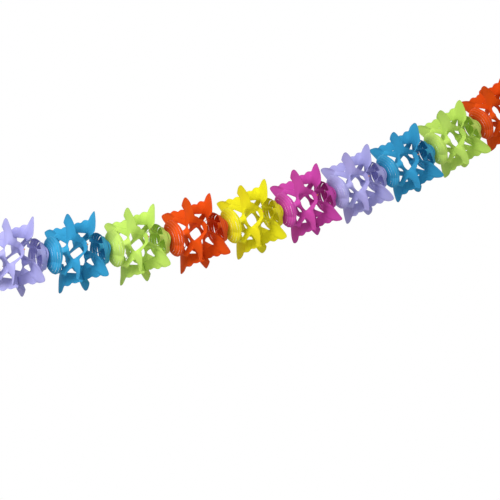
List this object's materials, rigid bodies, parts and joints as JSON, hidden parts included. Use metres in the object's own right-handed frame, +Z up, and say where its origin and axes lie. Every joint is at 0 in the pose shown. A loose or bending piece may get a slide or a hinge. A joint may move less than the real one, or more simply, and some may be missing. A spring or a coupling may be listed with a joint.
{
  "type": "paper garland",
  "caption": "Hanging garland of coloured die-cut paper flowers, each of sheets glued at round lobes and drawn open into a net with pointed ears, to decorate a room.",
  "frame": {"origin": "centre of the outer face of the upper end disc, where the garland is hung", "axes": "+X along the span towards the upper end, +Z up, the strand in the XZ plane"},
  "size_m": [1.1307, 0.14, 0.4261],
  "materials": {
    "paper_lilac": "matte coloured craft paper",
    "paper_blue": "matte coloured craft paper",
    "paper_green": "matte coloured craft paper",
    "paper_orange": "matte coloured craft paper",
    "paper_yellow": "matte coloured craft paper",
    "paper_magenta": "matte coloured craft paper"
  },
  "bodies": {
    "root": {"flower_01_lilac_left": "paper_lilac", "flower_01_lilac_right": "paper_lilac", "flower_02_blue_left": "paper_blue", "flower_02_blue_right": "paper_blue", "flower_03_green_left": "paper_green", "flower_03_green_right": "paper_green", "flower_04_orange_left": "paper_orange", "flower_04_orange_right": "paper_orange", "flower_05_yellow_left": "paper_yellow", "flower_05_yellow_right": "paper_yellow", "flower_06_magenta_left": "paper_magenta", "flower_06_magenta_right": "paper_magenta", "flower_07_lilac_left": "paper_lilac", "flower_07_lilac_right": "paper_lilac", "flower_08_blue_left": "paper_blue", "flower_08_blue_right": "paper_blue", "flower_09_green_left": "paper_green", "flower_09_green_right": "paper_green", "flower_10_orange_left": "paper_orange", "flower_10_orange_right": "paper_orange"}
  },
  "joints": []
}
